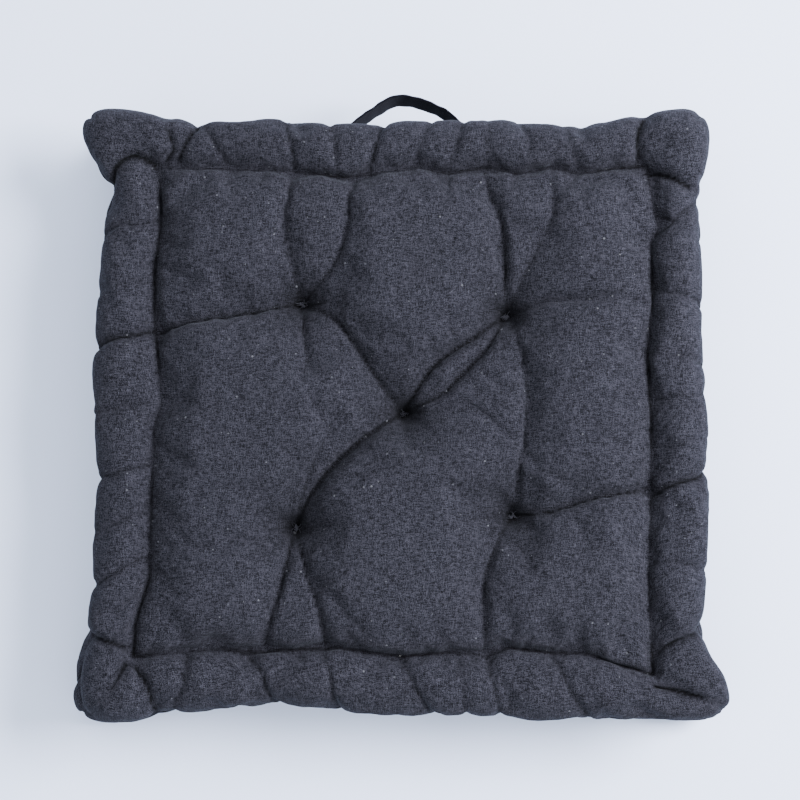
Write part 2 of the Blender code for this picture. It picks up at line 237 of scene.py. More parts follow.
# How far the rolls stand out more than the solid's, as (place along the side, distance)
RIM_WANDER = {
    "left": (
        (-0.250, 0.004), (-0.180, 0.010), (-0.140, 0.008), (-0.100, 0.006), (-0.050, 0.006),
        (0.000, 0.009), (0.050, 0.012), (0.100, 0.009), (0.150, 0.005), (0.170, 0.003),
        (0.190, -0.002), (0.205, -0.004), (0.225, -0.002), (0.250, 0.000),
    ),
    "right": (
        (-0.250, 0.000), (-0.220, -0.002), (-0.195, -0.006), (-0.175, -0.003), (-0.140, 0.002),
        (-0.050, 0.007), (0.050, 0.003), (0.150, 0.004), (0.200, 0.000), (0.250, -0.002),
    ),
    "front": (
        (-0.250, 0.000), (-0.165, -0.002), (-0.098, -0.007), (-0.060, -0.003), (0.000, 0.002),
        (0.063, 0.003), (0.153, 0.005), (0.200, 0.000), (0.250, -0.002),
    ),
    "back": (
        (-0.250, 0.000), (-0.165, -0.002), (-0.098, 0.002), (-0.061, -0.003), (0.063, 0.002),
        (0.153, -0.004), (0.200, 0.000), (0.250, 0.000),
    ),
}

# How far each corner stands out more than the solid's, across and lengthwise, before it is rounded,
# and the nearness to the corner, up to 1, at which that begins and is full
EXTRA_EAR = {
    ("top", "back_left"): (0.020, 0.006, 0.70, 0.93),
    ("top", "back_right"): (0.008, 0.006, 0.70, 0.93),
    ("top", "front_left"): (0.005, 0.003, 0.70, 0.93),
    ("top", "front_right"): (0.016, 0.002, 0.70, 0.93),
    ("bottom", "back_left"): (0.009, 0.006, 0.55, 0.90),
    ("bottom", "back_right"): (0.009, 0.006, 0.55, 0.90),
    ("bottom", "front_left"): (0.024, 0.008, 0.55, 0.90),
    ("bottom", "front_right"): (0.026, 0.006, 0.58, 0.90),
}
CORNER_ROUND = 0.012


def smooth_path(points, count):
    """Points along a smooth curve through the given ones."""
    ends = [2 * points[0] - points[1], *points, 2 * points[-1] - points[-2]]
    spans = len(points) - 1
    made = []
    for step in range(count):
        t = step / (count - 1) * spans
        span = min(int(t), spans - 1)
        t -= span
        a, b, c, d = ends[span:span + 4]
        squared, cubed = 2 * a - 5 * b + 4 * c - d, 3 * b - a - 3 * c + d
        made.append(0.5 * (2 * b + (c - a) * t + squared * t**2 + cubed * t**3))
    return np.array(made)


def beside_path(spots, path):
    """For each (x, y): its distance from the path, which side it is on, and how far along it is."""
    best = np.full(len(spots), 1e9)
    side = np.ones(len(spots))
    along = np.zeros(len(spots))
    steps = len(path) - 1
    for k in range(steps):
        start, way = path[k], path[k + 1] - path[k]
        away = spots - start
        t = np.clip(away @ way / (way @ way), 0, 1)
        gap = away - t[:, None] * way
        distance = np.hypot(gap[:, 0], gap[:, 1])
        nearer = distance < best
        best = np.where(nearer, distance, best)
        side = np.where(nearer, np.sign(way[0] * away[:, 1] - way[1] * away[:, 0] + 1e-12), side)
        along = np.where(nearer, (k + t) / steps, along)
    return best, side, along


def crease_paths(creases):
    """Each roll crease's path with its depths and widths."""
    return [(smooth_path([np.array(p) for p in route], 20), *sizes) for route, *sizes in creases]


def fold_paths(folds):
    """Each fold's path with its depths and widths; a tuft's name stands for its place."""
    made = []
    for route, start_depth, end_depth, left_width, right_width in folds:
        tuft = TUFTS[route[0]]
        points = [np.array(TUFTS.get(p, p) if isinstance(p, str) else p) for p in (tuft, *route[1:])]
        made.append((smooth_path(points, 20), start_depth, end_depth, left_width, right_width))
    return made


def fold_depth(spots, paths, narrow=1.0, share=1.0, most_width=1.0):
    """How deep the folds lie at each (x, y). `narrow` scales their widths."""
    total = np.zeros(len(spots))
    for path, start_depth, end_depth, left_width, right_width in paths:
        distance, side, along = beside_path(spots, path)
        width = np.minimum(np.where(side > 0, left_width, right_width) * narrow, most_width)
        fade = 1 if end_depth > 0 else np.clip((1 - along) * 3, 0, 1)
        depth = (start_depth + (end_depth - start_depth) * along) * fade
        total = (total**3 + (share * depth * np.exp(-distance / width)) ** 3) ** (1 / 3)
    return total


def tuft_depth(spots):
    """How deep the tufts' hollows lie at each (x, y)."""
    total = np.zeros(len(spots))
    for place in TUFTS.values():
        away = np.hypot(spots[:, 0] - place[0], spots[:, 1] - place[1])
        total = (total**3 + (TUFT_DEPTH * np.exp(-away / TUFT_RADIUS)) ** 3) ** (1 / 3)
    return total


class Cloth:
    """The cover's cloth as one closed grid, from the top's middle round to the bottom's.

    A vertex's count is its number of cells from the top's middle, square ring by square ring.
    """

    def __init__(self):
        self.where = []  # for each vertex: u and v, from -1 to 1, and its count of cells
        self.faces = []
        self.parts = []
        self.index = {}
        self.lay_panel("top")
        self.lay_band()
        self.lay_panel("bottom")
        self.where = np.array(self.where)

    def vertex(self, u, v, k):
        """Adds a vertex and gives its number."""
        self.where.append((u, v, k))
        return len(self.where) - 1

    def lay_panel(self, side):
        """The top or the bottom square, rim to rim."""
        cells = PANEL_CELLS
        for row in range(-cells, cells + 1):
            for column in range(-cells, cells + 1):
                ring = max(abs(column), abs(row))
                u, v = (column / ring, row / ring) if ring else (0, 0)
                if side == "bottom" and ring == cells:
                    self.index[side, column, row] = self.index["band", BAND_CELLS, column, row]
                    continue
                k = ring if side == "top" else ALL_CELLS - ring
                self.index[side, column, row] = self.vertex(u, v, k)
        for row in range(-cells, cells):
            for column in range(-cells, cells):
                ring = [(column, row), (column + 1, row), (column + 1, row + 1), (column, row + 1)]
                if side == "bottom":
                    ring.reverse()
                self.faces.append([self.index[side, c, r] for c, r in ring])
                self.parts.append(side + "_panel")

    def lay_band(self):
        """The four side bands, from the top rim down to the bottom rim."""
        cells = PANEL_CELLS
        run = range(-cells, cells)
        sides = {
            "front": [(s, -cells) for s in run],
            "right": [(cells, s) for s in run],
            "back": [(-s, cells) for s in run],
            "left": [(-cells, -s) for s in run],
        }
        rounds = [spot for side in sides.values() for spot in side]
        for spot in rounds:
            self.index["band", 0, *spot] = self.index["top", *spot]
        for step in range(1, BAND_CELLS + 1):
            for column, row in rounds:
                made = self.vertex(column / cells, row / cells, cells + step)
                self.index["band", step, column, row] = made
        for place, spot in enumerate(rounds):
            beside = rounds[(place + 1) % len(rounds)]
            side = list(sides)[place // (2 * cells)]
            for step in range(BAND_CELLS):
                ring = [(step, *spot), (step + 1, *spot), (step + 1, *beside), (step, *beside)]
                self.faces.append([self.index["band", *corner] for corner in ring])
                self.parts.append("side_band_" + side)


def nearer_count(k):
    """Each count taken from the nearer panel's middle."""
    return np.minimum(k, ALL_CELLS - k)


def cross_section(k):
    """(inset from the side, depth under the highest point, angle round the roll) at each count."""
    k = nearer_count(k)
    reach = np.minimum(k / FIELD_CELLS, 1) * FIELD_HALF
    over = np.clip((k - FIELD_CELLS) / OVER_CELLS, 0, 1)
    under = np.clip((k - PANEL_CELLS) / UNDER_CELLS, 0, 1)
    angle = GROOVE_ANGLE * (1 - over) - WAIST_ANGLE * under
    waist = np.clip((k - PANEL_CELLS - UNDER_CELLS) / (WAIST_CELLS / 2), 0, 1)
    on_field = k < FIELD_CELLS
    inset = np.where(on_field, SIDE / 2 - reach, ROLL_A * (1 - np.cos(angle)))
    roll_depth = ROLL_B * (1 - np.sin(angle)) + waist * (HEIGHT / 2 - WAIST_DEPTH)
    groove_depth = ROLL_B * (1 - sin(GROOVE_ANGLE))
    from_groove = FIELD_HALF - reach
    sunk = FIELD_SINK + (groove_depth - FIELD_SINK) * np.exp(-from_groove / 0.009)
    crown = 0.004 * np.exp(-((from_groove - 0.035) / 0.022) ** 2)
    return inset, np.where(on_field, sunk - crown, roll_depth), angle


def smooth_step(values, low, high):
    """0 below low, 1 above high and smooth between them."""
    t = np.clip((values - low) / (high - low), 0, 1)
    return t * t * (3 - 2 * t)


def corner_masks(u, v):
    """Masks of the vertices nearest each corner."""
    return {
        "back_left": (u < 0) & (v >= 0),
        "back_right": (u >= 0) & (v >= 0),
        "front_left": (u < 0) & (v < 0),
        "front_right": (u >= 0) & (v < 0),
    }


def side_masks(u, v):
    """Masks of the vertices on each side, and their places along it."""
    across = np.abs(u) >= np.abs(v)
    return {
        "left": (across & (u < 0), v),
        "right": (across & (u > 0), v),
        "back": (~across & (v > 0), u),
        "front": (~across & (v < 0), u),
    }


def bottom_puckers():
    """Puckers of the lower roll, scattered with a fixed seed."""
    rng = np.random.default_rng(SEED)
    made = []
    for side in ("back", "left", "front", "right"):
        place = -0.204
        while place < 0.215:
            lean = rng.uniform(-0.022, 0.022)
            made.append((
                side, place, place + lean, rng.uniform(0.003, 0.006), *rng.uniform(0.005, 0.012, 2),
            ))
            place += rng.uniform(0.026, 0.052)
    return made


def half_turn(folds):
    """The same folds turned half round the middle, for the underside."""
    opposite = {"left": "right", "right": "left", "front": "back", "back": "front"}
    made = []
    for route, *sizes in folds:
        turned = []
        for point in route:
            if isinstance(point, str):
                turned.append("_".join(opposite.get(word, word) for word in point.split("_")))
            else:
                turned.append((-point[0], -point[1]))
        made.append((turned, *sizes))
    return made


def is_top(k):
    """True above the middle of the side band."""
    return k <= PANEL_CELLS + BAND_CELLS / 2


def pucker_depth(u, v, k, narrow=1.0, share=1.0):
    """How deep the rolls' puckers lie at each vertex."""
    angle = cross_section(k)[2]
    over = 1 - np.clip(angle / GROOVE_ANGLE, -0.4, 1)  # 0 at the groove, 1 at the rim
    from_field = np.clip((nearer_count(k) - FIELD_CELLS + 2) / 3, 0, 1)
    on_roll = from_field * np.clip((angle + WAIST_ANGLE) / 0.6, 0, 1)
    total = np.zeros(len(u))
    masks = side_masks(u, v)
    for face, puckers in PUCKERS.items():
        here = on_roll * (is_top(k) if face == "top" else ~is_top(k))
        for side, at_groove, at_rim, depth, low_width, high_width in puckers:
            mask, share_along = masks[side]
            place = share_along * (FIELD_HALF + over * ROLL_WIDTH)
            away = place - at_groove - (at_rim - at_groove) * over
            width = np.where(away < 0, low_width, high_width) * narrow
            there = mask * here * share * depth * np.exp(-np.abs(away) / width)
            total = (total**3 + there**3) ** (1 / 3)
    return total


def crease_depth(u, v, k, spots, narrow=1.0, share=1.0, most_width=1.0):
    """How deep the creases near the corners lie in the top roll, at its flat places."""
    total = np.zeros(len(u))
    lowest = PANEL_CELLS + UNDER_CELLS
    near = (k > FIELD_CELLS - 2) & (k < lowest) & (np.abs(u * v) > 0.6)
    fade = np.clip((k[near] - FIELD_CELLS + 2) / 3, 0, 1) * np.clip((lowest - k[near]) / 6, 0, 1)
    total[near] = fold_depth(spots[near], CREASES, narrow, share, most_width) * fade
    return total


def field_depth(spots, k, narrow=1.0, share=1.0, most_width=1.0, tuft_share=1.0):
    """How deep folds and tufts lie on the field of either panel, at its flat places."""
    total = np.zeros(len(spots))
    for face, count in (("top", k), ("bottom", ALL_CELLS - k)):
        near = count <= FIELD_CELLS + 1
        here = spots[near]
        fade = np.clip((FIELD_CELLS + 1 - count[near]) / 2, 0, 1)
        folds = fold_depth(here, FOLDS[face], narrow, share, most_width)
        tufts = tuft_share * tuft_depth(here)
        total[near] = (folds**3 + tufts**3) ** (1 / 3) * fade
    return total


def laid_out(where):
    """Where the cloth lies with no folds in it."""
    u, v, k = where.T
    inset, depth, _ = cross_section(k)
    top = is_top(k)
    corner = np.abs(u * v) ** 6
    on_roll = np.clip(1 - inset / ROLL_WIDTH, 0, 1)
    ear = CORNER_EAR * corner - CORNER_DRAWN_IN * corner**2
    corners = corner_masks(u, v)
    ear = np.column_stack([ear, ear])
    for (face, name), (across, lengthwise, begins, full) in EXTRA_EAR.items():
        wide = smooth_step(np.abs(u * v), begins, full) * (corners[name] & (top == (face == "top")))
        ear += wide[:, None] * np.array((across, lengthwise))
    ear -= (np.where(top, 1, 1.2) * CORNER_ROUND * np.abs(u * v) ** 14)[:, None]
    spread = np.zeros((len(u), 2))
    at_groove = np.exp(-(((inset - ROLL_WIDTH) / 0.016) ** 2))
    for axis, sides, own, along in ((0, ("left", "right"), u, v), (1, ("front", "back"), v, u)):
        for side, there in zip(sides, (own < 0, own >= 0)):
            groove = np.interp(along * FIELD_HALF, *np.array(GROOVE_WANDER[side]).T)
            rim = np.interp(along * SIDE / 2, *np.array(RIM_WANDER[side]).T)
            spread[:, axis] += there * (groove * at_groove + rim * np.clip(on_roll * 1.5, 0, 1))
    half = (SIDE / 2 - inset)[:, None] + spread + ear * on_roll[:, None]
    return np.column_stack([u * half[:, 0], v * half[:, 1], np.where(top, HEIGHT - depth, depth)])


def cloth_mesh(name, points, faces):
    """A mesh of the whole cover."""
    mesh = bpy.data.meshes.new(name)
    mesh.from_pydata(points.tolist(), [], faces)
    mesh.shade_smooth()
    return mesh


def read_points(mesh):
    """A mesh's vertices as an array."""
    flat = np.empty(len(mesh.vertices) * 3)
    mesh.vertices.foreach_get("co", flat)
    return flat.reshape(-1, 3)


def read_normals(mesh):
    """A mesh's vertex normals as an array."""
    flat = np.empty(len(mesh.vertices) * 3, dtype=np.float32)
    mesh.vertex_normals.foreach_get("vector", flat)
    return flat.reshape(-1, 3).astype(float)


def write_points(mesh, points):
    """Puts a mesh's vertices where the array says."""
    mesh.vertices.foreach_set("co", np.asarray(points, dtype=np.float32).ravel())
    mesh.update()


def held_weights(where, flat):
    """How firmly stitching, ties and set folds hold the cloth while it is blown up."""
    u, v, k = where.T
    count = nearer_count(k)
    held = np.where(np.abs(count - FIELD_CELLS) < 0.5, 1.0, 0.0)
    held = np.maximum(held, np.where(np.abs(count - PANEL_CELLS - UNDER_CELLS) < 0.5, 1.0, 0.0))
    held = np.maximum(held, np.where(np.abs(count - PANEL_CELLS) < 0.5, 0.25, 0.0))
    for place in TUFTS.values():
        away = np.hypot(flat[:, 0] - place[0], flat[:, 1] - place[1])
        held = np.maximum(held, np.where((away < 0.005) & (count < FIELD_CELLS), 1.0, 0.0))
    folds = field_depth(flat, k, narrow=0.4, tuft_share=0) / 0.010
    puckers = pucker_depth(u, v, k, narrow=0.4) / 0.005
    creases = crease_depth(u, v, k, flat, narrow=0.4) / 0.008
    return np.maximum(held, 0.85 * np.clip(np.maximum(folds, np.maximum(puckers, creases)), 0, 1))


def blown_up(points, faces, held):
    """The cloth's places after it has been blown up against its stitching."""
    mesh = cloth_mesh("cover_cloth_at_work", points, faces)
    cover = bpy.data.objects.new("cover_cloth_at_work", mesh)
    bpy.context.scene.collection.objects.link(cover)
    group = cover.vertex_groups.new(name="held")
    for weight in np.unique(np.round(held, 2)):
        members = np.nonzero(np.round(held, 2) == weight)[0].tolist()
        group.add(members, float(weight), "REPLACE")
    cloth = cover.modifiers.new("blown_up", "CLOTH")
    settings = cloth.settings
    settings.quality = 5
    settings.mass = 0.15
    settings.air_damping = 2.0
    settings.tension_stiffness = 18
    settings.compression_stiffness = 12
    settings.shear_stiffness = 6
    settings.bending_stiffness = 0.25
    settings.use_pressure = True
    settings.uniform_pressure_force = PRESSURE
    settings.shrink_min = -CLOTH_GROWTH
    settings.vertex_group_mass = "held"
    settings.effector_weights.gravity = 0
    cloth.collision_settings.use_collision = False
    cloth.collision_settings.use_self_collision = False
    cloth.point_cache.frame_start = 1
    cloth.point_cache.frame_end = SIM_FRAMES
    scene = bpy.context.scene
    for step in range(1, SIM_FRAMES + 1):
        scene.frame_set(step)
    result = cover.evaluated_get(bpy.context.evaluated_depsgraph_get())
    moved = read_points(result.data)
    scene.frame_set(1)
    bpy.data.objects.remove(cover)
    away = moved - points
    length = np.linalg.norm(away, axis=1, keepdims=True)
    return points + away * np.minimum(1, MOST_MOVE / np.maximum(length, 1e-9))


def flat_uv(where, part):
    """Places on the flat cloth, in metres, for one part's vertices."""
    u, v, k = where.T
    if part.endswith("panel"):
        reach = nearer_count(k) * CELL
        return np.column_stack([u * reach, v * reach])
    along = u if part.endswith(("front", "back")) else v
    return np.column_stack([along * SIDE / 2, (k - PANEL_CELLS) * CELL])


PUCKERS = {"top": TOP_PUCKERS, "bottom": bottom_puckers()}
CREASES = crease_paths(ROLL_CREASES)
FOLDS = {"top": fold_paths(TOP_FOLDS), "bottom": fold_paths(half_turn(TOP_FOLDS))}


def point_values(mesh, name):
    """A float attribute of a mesh as an array."""
    values = np.empty(len(mesh.vertices), dtype=np.float32)
    mesh.attributes[name].data.foreach_get("value", values)
    return values.astype(float)


def finished_cloth():
    """The whole cover at its full fineness, with each face's part and each vertex's count."""
    cloth = Cloth()
    flat = laid_out(cloth.where)
    smooth = cloth_mesh("cloth_laid_out", flat, cloth.faces)
    normals = read_normals(smooth)
    u, v, k = cloth.where.T
    down = np.where(is_top(k), -1.0, 1.0)
    points = flat - normals * (pucker_depth(u, v, k) + crease_depth(u, v, k, flat[:, :2]))[:, None]
    points[:, 2] += down * field_depth(flat[:, :2], k)
    points = blown_up(points, cloth.faces, held_weights(cloth.where, flat[:, :2]))
    points[:, 2] = np.clip(points[:, 2], 0, HEIGHT + 0.007)

    mesh = cloth_mesh("cloth_fine", points, cloth.faces)
    for name, values in {"u": u, "v": v, "count": k, "flat_x": flat[:, 0], "flat_y": flat[:, 1]}.items():
        mesh.attributes.new(name, "FLOAT", "POINT").data.foreach_set("value", values.astype(np.float32))
    part_names = sorted(set(cloth.parts))
    part_numbers = np.array([part_names.index(part) for part in cloth.parts], dtype=np.int32)
    mesh.attributes.new("part", "INT", "FACE").data.foreach_set("value", part_numbers)
    uv = mesh.uv_layers.new(name="cloth")
    corners = np.empty(len(mesh.loops), dtype=np.int32)
    mesh.loops.foreach_get("vertex_index", corners)
    corner_part = np.repeat(part_numbers, 4)
    places = np.zeros((len(corners), 2))
    for number, part in enumerate(part_names):
        mine = corner_part == number
        places[mine] = flat_uv(cloth.where, part)[corners[mine]]
    uv.data.foreach_set("uv", places.astype(np.float32).ravel())

    carrier = bpy.data.objects.new("cloth_fine", mesh)
    bpy.context.scene.collection.objects.link(carrier)
    finer = carrier.modifiers.new("finer", "SUBSURF")
    finer.levels = 1
    finer.render_levels = 1
    fine = bpy.data.meshes.new_from_object(carrier.evaluated_get(bpy.context.evaluated_depsgraph_get()))
    bpy.data.objects.remove(carrier)
    sharpen(fine)
    return cloth, points, read_normals(mesh), fine, part_names


def sharpen(fine):
    """Presses the sharp middles of folds, puckers, seams and small wrinkles into the fine cloth, and
    stores how much shade to paint into them.
    """
    points = read_points(fine)
    normals = read_normals(fine)
    u, v, k = (point_values(fine, name) for name in ("u", "v", "count"))
    flat = np.column_stack([point_values(fine, "flat_x"), point_values(fine, "flat_y")])
    count = nearer_count(k)
    folds = field_depth(flat, k, narrow=0.22, share=0.30, most_width=0.0017, tuft_share=0.10)
    creases = crease_depth(u, v, k, flat, narrow=0.22, share=0.30, most_width=0.0016)
    puckers = pucker_depth(u, v, k, narrow=0.18, share=0.25) + creases
    across, lengthwise = flat.T
    swing = 2 * np.sin(40 * lengthwise - 23 * across)
    uneven = 0.70 + 0.30 * np.sin(31 * across + 17 * lengthwise + swing)
    rim = np.exp(-np.abs(count - PANEL_CELLS) / 0.45)
    groove = uneven * np.exp(-np.abs(count - FIELD_CELLS) / 0.34)
    seams = RIM_SEAM_DEPTH * rim + GROOVE_SEAM_DEPTH * groove
    points -= normals * (folds + puckers + seams - small_wrinkles(points))[:, None]
    points[:, 2] = np.clip(points[:, 2], 0, HEIGHT + 0.008)
    write_points(fine, points)
    # Painted shade: a 0 to 1 amount by which the material darkens the cloth's colour in folds, puckers,
    # grooves and rim seams, standing in for the shade that falls in them
    fold_shade = np.maximum(folds / 0.0030, puckers / 0.0013)
    painted_crease_shade = np.clip(np.maximum(fold_shade, np.maximum(groove, 0.5 * rim)), 0, 1)
    fine.attributes.new("painted_crease_shade", "FLOAT", "POINT").data.foreach_set("value", painted_crease_shade.astype(np.float32))


def small_wrinkles(points):
    """Gentle unevenness of stuffed cotton, about a third of a millimetre."""
    rng = np.random.default_rng(SEED)
    total = np.zeros(len(points))
    for length, height in ((0.045, 0.00035), (0.024, 0.00022), (0.012, 0.00010)):
        for _ in range(7):
            way = rng.normal(size=3)
            way *= 2 * pi / length / np.linalg.norm(way) * rng.uniform(0.7, 1.4)
            bend = rng.normal(size=3) * 18
            phase = points @ way + 1.5 * np.sin(points @ bend) + rng.uniform(0, 2 * pi)
            total += height / 7 * 2 * np.sin(phase)
    return total


def cut_part(fine, part_names, part):
    """One part of the cover as its own object, in the frame's place."""
    bm = bmesh.new()
    bm.from_mesh(fine)
    layer = bm.faces.layers.int["part"]
    number = part_names.index(part)
    bmesh.ops.delete(bm, geom=[f for f in bm.faces if f[layer] != number], context="FACES")
    bmesh.ops.translate(bm, verts=bm.verts, vec=MIDDLE)
    mesh = bpy.data.meshes.new(part)
    bm.to_mesh(mesh)
    bm.free()
    mesh.shade_smooth()
    piece = bpy.data.objects.new("cover_" + part, mesh)
    bpy.context.scene.collection.objects.link(piece)
    wall = piece.modifiers.new("cloth", "SOLIDIFY")
    wall.thickness = CLOTH
    wall.offset = -1
    return piece


def show(name, mesh, finish, body="cushion", nodes=()):
    """Puts a finished mesh in the scene on its body, with its material and slot."""
    piece = bpy.data.objects.new(name, mesh)
    bpy.context.scene.collection.objects.link(piece)
    mesh.materials.clear()
    mesh.materials.append(finish)
    if body:
        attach(piece, body)
    if nodes:
        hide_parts(*nodes)
    return piece


# Materials


def socket(group, name, kind, way="INPUT", value=None):
    """A named socket on a node group."""
    made = group.interface.new_socket(name, in_out=way, socket_type="NodeSocket" + kind)
    if value is not None:
        made.default_value = value
    return made


def node(tree, kind, inputs=(), **settings):
    """A node with its settings, whose inputs are joined to other sockets or set to values."""
    made = tree.nodes.new(kind)
    for name, value in settings.items():
        setattr(made, name, value)
    for name, value in dict(inputs).items():
        if isinstance(value, bpy.types.NodeSocket):
            tree.links.new(value, made.inputs[name])
        else:
            made.inputs[name].default_value = value
    return made


def noise(tree, place, scale, **sizes):
    """A noise pattern's share at a place."""
    inputs = {name.capitalize(): size for name, size in sizes.items()}
    inputs |= {"Vector": place, "Scale": scale}
    return node(tree, "ShaderNodeTexNoise", inputs).outputs["Fac"]


def maths(tree, operation, *values):
    """A maths node's result."""
    return node(tree, "ShaderNodeMath", enumerate(values), operation=operation).outputs[0]


def blend_numbers(tree, share, first, second):
    """Two numbers mixed by a share."""
    return node(tree, "ShaderNodeMix", {0: share, 2: first, 3: second}, data_type="FLOAT").outputs[0]


def blend_colours(tree, share, first, second):
    """Two colours mixed by a share."""
    return node(tree, "ShaderNodeMix", {0: share, 6: first, 7: second}, data_type="RGBA").outputs[2]


def weave_group():
    """A plain weave of heathered yarns, placed by metres on the flat cloth."""
    group = bpy.data.node_groups.new("plain_weave", "ShaderNodeTree")
    socket(group, "Place", "Vector")
    socket(group, "Yarn Size", "Float", value=0.0006)
    socket(group, "Warp Colour", "Color", value=(0.02, 0.02, 0.03, 1))
    socket(group, "Weft Colour", "Color", value=(0.1, 0.1, 0.12, 1))
    socket(group, "Heather", "Float", value=0.5)
    socket(group, "Colour", "Color", "OUTPUT")
    socket(group, "Height", "Float", "OUTPUT")
    inside = group.nodes.new("NodeGroupInput").outputs
    scaled = node(group, "ShaderNodeVectorMath", {0: inside["Place"]}, operation="SCALE")
    group.links.new(maths(group, "DIVIDE", 1.0, inside["Yarn Size"]), scaled.inputs["Scale"])
    parts = node(group, "ShaderNodeSeparateXYZ", {0: scaled.outputs[0]}).outputs
    across = [maths(group, "FLOOR", parts[axis]) for axis in (0, 1)]
    within = [maths(group, "FRACT", parts[axis]) for axis in (0, 1)]
    round_yarn = []
    for share in within:
        off = maths(group, "SUBTRACT", maths(group, "MULTIPLY", share, 2.0), 1.0)
        round_yarn.append(maths(group, "SUBTRACT", 1.0, maths(group, "MULTIPLY", off, off)))
    over = maths(group, "PINGPONG", maths(group, "ADD", across[0], across[1]), 1.0)
    strand = []
    for number, (own, along) in enumerate(((across[0], parts[1]), (across[1], parts[0]))):
        stretched = maths(group, "MULTIPLY", along, 0.11)
        own_row = maths(group, "MULTIPLY", own, 3.7)
        spot = node(group, "ShaderNodeCombineXYZ", {0: own_row, 1: stretched, 2: 11.0 * number})
        strand.append(noise(group, spot.outputs[0], 1.0, detail=2.0, roughness=0.7))
    fibres = noise(group, scaled.outputs[0], 0.74, detail=3.0, roughness=0.75)
    tone = blend_numbers(group, over, *strand)
    tone = maths(
        group, "ADD", maths(group, "MULTIPLY", tone, 0.55), maths(group, "MULTIPLY", fibres, 0.45),
    )
    tone = maths(group, "MULTIPLY", maths(group, "SUBTRACT", tone, 0.5), inside["Heather"])
    share = maths(group, "ADD", maths(group, "MULTIPLY", over, 0.16), maths(group, "ADD", tone, 0.22))
    clamped = node(group, "ShaderNodeClamp", {0: share}).outputs[0]
    colour = blend_colours(group, clamped, inside["Warp Colour"], inside["Weft Colour"])
    height = blend_numbers(group, over, *round_yarn)
    out = group.nodes.new("NodeGroupOutput")
    group.links.new(colour, out.inputs["Colour"])
    group.links.new(height, out.inputs["Height"])
    return group


def lint_group():
    """Tiny pale specks of lint, scattered over the cloth."""
    group = bpy.data.node_groups.new("lint_specks", "ShaderNodeTree")
    socket(group, "Place", "Vector")
    socket(group, "Spacing", "Float", value=0.004)
    socket(group, "Size", "Float", value=0.0004)
    socket(group, "Mask", "Float", "OUTPUT")
    inside = group.nodes.new("NodeGroupInput").outputs
    scaled = node(group, "ShaderNodeVectorMath", {0: inside["Place"]}, operation="SCALE")
    group.links.new(maths(group, "DIVIDE", 1.0, inside["Spacing"]), scaled.inputs["Scale"])
    cells = node(group, "ShaderNodeTexVoronoi", {"Vector": scaled.outputs[0], "Scale": 1.0})
    reach = maths(group, "DIVIDE", inside["Size"], inside["Spacing"])
    chance = node(group, "ShaderNodeSeparateColor", {0: cells.outputs["Color"]}).outputs
    reach = maths(group, "MULTIPLY", reach, maths(group, "POWER", chance[0], 2.0))
    mask = maths(group, "LESS_THAN", cells.outputs["Distance"], reach)
    out = group.nodes.new("NodeGroupOutput")
    group.links.new(maths(group, "MULTIPLY", mask, chance[1]), out.inputs["Mask"])
    return group


def new_material(name, roughness, sheen=0.0, sheen_tint=(1, 1, 1, 1)):
    """A material with a Principled shader, its tree and the shader."""
    made = bpy.data.materials.new(name)
    made.use_nodes = True
    shader = made.node_tree.nodes["Principled BSDF"]
    shader.inputs["Roughness"].default_value = roughness
    shader.inputs["Specular IOR Level"].default_value = 0.06
    shader.inputs["Sheen Weight"].default_value = sheen
    shader.inputs["Sheen Roughness"].default_value = 0.45
    shader.inputs["Sheen Tint"].default_value = sheen_tint
    return made, made.node_tree, shader


def raise_surface(tree, shader, height, strength, distance):
    """A bump from a height on a shader's normal."""
    bump = node(tree, "ShaderNodeBump", {"Strength": strength, "Distance": distance, "Height": height})
    tree.links.new(bump.outputs[0], shader.inputs["Normal"])


def cloth_material(name, warp, weft, yarn, heather, patch, lint, sheen):
    """A woven cotton with heathered yarns, uneven dye, lint, a soft sheen and shade painted into its
    creases and seams.
    """
    made, tree, shader = new_material(name, 0.92, sheen, (0.72, 0.78, 0.95, 1))
    place = node(tree, "ShaderNodeUVMap", uv_map="cloth").outputs[0]
    yarns = {"Yarn Size": yarn, "Warp Colour": warp, "Weft Colour": weft, "Heather": heather}
    weave = node(tree, "ShaderNodeGroup", {"Place": place, **yarns}, node_tree=WEAVE).outputs
    where = node(tree, "ShaderNodeTexCoord").outputs["Object"]
    patches = noise(tree, where, 14.0, detail=3.0, roughness=0.6)
    tones = {0: patches, 1: 0.3, 2: 0.7, 3: 1 - patch, 4: 1 + patch}
    shade = node(tree, "ShaderNodeMapRange", tones).outputs[0]
    # Painted shade: the weave's colour is darkened by up to 92 per cent in folds, puckers, grooves and
    # seams, where shade falls
    painted_crease_shade = node(tree, "ShaderNodeAttribute", attribute_name="painted_crease_shade").outputs["Fac"]
    painted_shade_factor = maths(tree, "SUBTRACT", 1.0, maths(tree, "MULTIPLY", painted_crease_shade, 0.92))
    tinted = node(tree, "ShaderNodeVectorMath", {0: weave["Colour"]}, operation="SCALE")
    tree.links.new(maths(tree, "MULTIPLY", shade, painted_shade_factor), tinted.inputs["Scale"])
    sizes = {"Place": place, "Spacing": 0.006, "Size": 0.0009}
    specks = node(tree, "ShaderNodeGroup", sizes, node_tree=LINT).outputs["Mask"]
    pale = maths(tree, "MULTIPLY", specks, lint)
    colour = blend_colours(tree, pale, tinted.outputs[0], LINT_COLOUR)
    tree.links.new(colour, shader.inputs["Base Color"])
    raise_surface(tree, shader, weave["Height"], 0.45, 0.00025)
    return made


def thread_material(name, colour, pale):
    """Twisted sewing thread, with its ply along the piece's own places."""
    made, tree, shader = new_material(name, 0.8, 0.05, (0.8, 0.85, 1, 1))
    where = node(tree, "ShaderNodeTexCoord").outputs["Object"]
    ply = noise(tree, where, 2600.0, detail=2.0)
    tree.links.new(blend_colours(tree, ply, colour, pale), shader.inputs["Base Color"])
    raise_surface(tree, shader, ply, 0.5, 0.0001)
    return made


